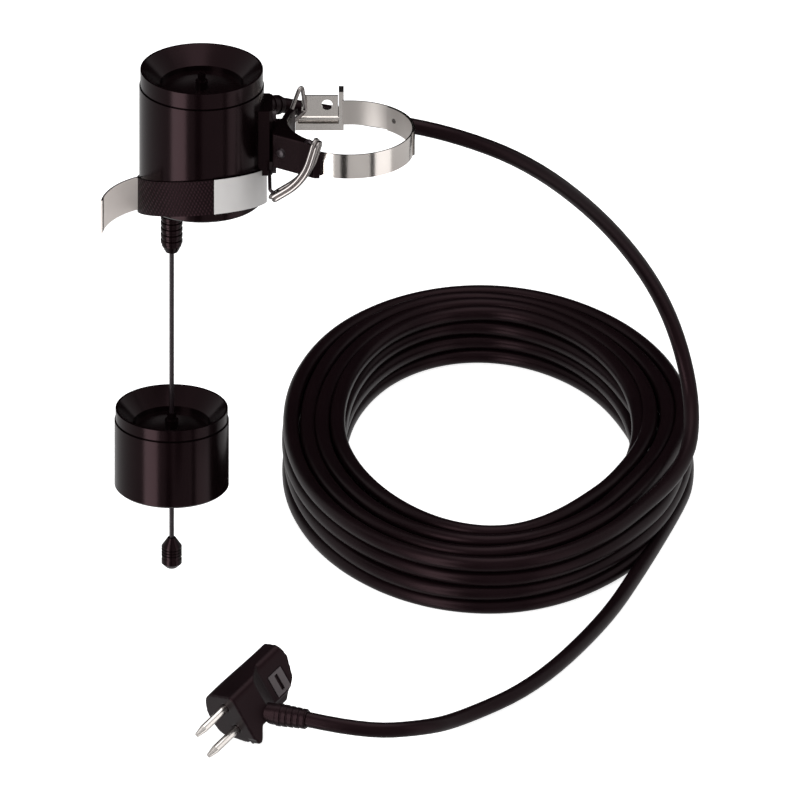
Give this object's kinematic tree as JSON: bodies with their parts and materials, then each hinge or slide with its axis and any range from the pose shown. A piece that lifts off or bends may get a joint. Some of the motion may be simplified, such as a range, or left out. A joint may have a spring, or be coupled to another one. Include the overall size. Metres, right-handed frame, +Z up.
{
  "type": "float switch",
  "caption": "Cable float switch: black switch housing on a quick-release pipe clamp, float on a hanging rod, coiled lead with a two-pin plug.",
  "frame": {"origin": "the middle of the gripped pipe, halfway up the clamp band", "axes": "+Z is up along the pipe, the front looks along -Y, and the housing stands at -X of the pipe"},
  "size_m": [0.2874, 0.4793, 0.2736],
  "materials": {
    "black_plastic": "moulded, glossy",
    "inner_plastic": "moulded",
    "rubber": "soft",
    "steel": "bright",
    "bright_steel": "polished",
    "dark_rod": "blackened",
    "brass": "plain",
    "strap_weave": "diagonal weave",
    "label_white": "printed film",
    "socket_grey": "moulded",
    "cord_rubber": "smooth sheath"
  },
  "bodies": {
    "switch": {"housing_body": "black_plastic", "housing_cap": "black_plastic", "cap_seal": "rubber", "switch_carrier": "inner_plastic", "microswitch": "inner_plastic", "switch_screws": "steel", "switch_terminals": "brass", "rod_gland": "black_plastic", "gland_seal": "rubber", "wrap_strap": "strap_weave", "strap_label": "label_white", "side_plate": "black_plastic", "plate_screws": "dark_rod", "clamp_block": "black_plastic", "block_rivet": "dark_rod", "block_end_plate": "black_plastic", "ring_hook": "dark_rod", "ring_boss": "dark_rod", "clamp_band": "bright_steel", "band_outer_strip": "bright_steel", "band_rivet": "steel", "clasp_bracket": "bright_steel", "clasp_pin": "steel", "triangle_link": "bright_steel", "split_ring": "bright_steel", "cord_strain_relief": "cord_rubber", "cord_run_upper": "cord_rubber", "cord_coil": "cord_rubber", "cord_run_lower": "cord_rubber", "plug_body": "cord_rubber", "plug_socket_face": "socket_grey", "plug_strain_relief": "cord_rubber", "plug_pin_upper": "bright_steel", "plug_pin_lower": "bright_steel"},
    "rod": {"float_rod": "dark_rod", "rod_collar": "steel", "rod_end_stop": "black_plastic", "float_stop": "rubber"},
    "float": {"float_shell": "black_plastic", "float_cap": "black_plastic"},
    "lever": {"switch_lever": "steel"},
    "clasp": {"clasp_lever": "bright_steel"}
  },
  "joints": [
    {"name": "rod_slide", "type": "slide", "parent": "switch", "child": "rod", "axis": [0, 0, 1], "range_m": [0, 0.006]},
    {"name": "float_slide", "type": "slide", "parent": "rod", "child": "float", "axis": [0, 0, 1], "range_m": [0, 0.077]},
    {"name": "switch_lever_hinge", "type": "hinge", "parent": "switch", "child": "lever", "pos_m": [-0.0605, 0, -0.0001], "axis": [0, 1, 0], "range_deg": [0, 14.5]},
    {"name": "clasp_hinge", "type": "hinge", "parent": "switch", "child": "clasp", "pos_m": [-0.015, 0.034, -0.0045], "axis": [-1, 0, 0], "range_deg": [0, 70]}
  ],
  "couplings": [
    {"joint": "switch_lever_hinge", "follows": "rod_slide", "rad_per_m": 40.56}
  ]
}
